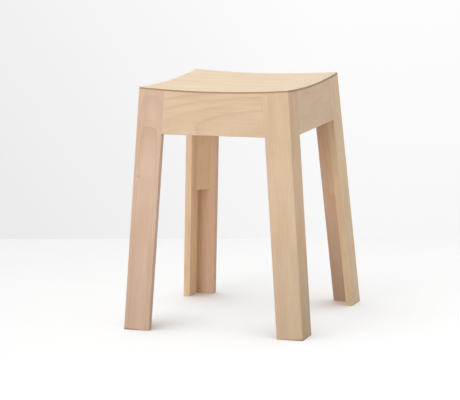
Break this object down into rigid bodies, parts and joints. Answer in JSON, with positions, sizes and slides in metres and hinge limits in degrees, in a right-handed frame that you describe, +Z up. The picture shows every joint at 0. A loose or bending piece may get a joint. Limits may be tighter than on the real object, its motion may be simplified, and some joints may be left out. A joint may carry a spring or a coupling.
{
  "type": "stacking stool",
  "caption": "Square stacking stool: shallow dished seat on splayed L-section legs joined by deep rails, with triangular stacking blocks inside the leg corners.",
  "frame": {"origin": "on the floor, under the middle of the seat", "axes": "+Z up; the four side frames face -Y, +X, +Y and -X; the stool is the same after each quarter turn about Z"},
  "size_m": [0.3498, 0.3498, 0.4499],
  "materials": {
    "beech_board": "matt clear lacquer on solid beech",
    "beech_seat": "matt clear lacquer on moulded beech plywood",
    "beech_dowel": "bare beech, glued"
  },
  "bodies": {
    "root": {"apron_back": "beech_board", "apron_front": "beech_board", "apron_left": "beech_board", "apron_right": "beech_board", "corner_block_back_left": "beech_board", "corner_block_back_right": "beech_board", "corner_block_front_left": "beech_board", "corner_block_front_right": "beech_board", "dowels_back": "beech_dowel", "dowels_front": "beech_dowel", "dowels_left": "beech_dowel", "dowels_right": "beech_dowel", "leg_board_back_left": "beech_board", "leg_board_back_right": "beech_board", "leg_board_front_left": "beech_board", "leg_board_front_right": "beech_board", "leg_board_left_back": "beech_board", "leg_board_left_front": "beech_board", "leg_board_right_back": "beech_board", "leg_board_right_front": "beech_board", "seat_panel": "beech_seat"}
  },
  "joints": []
}
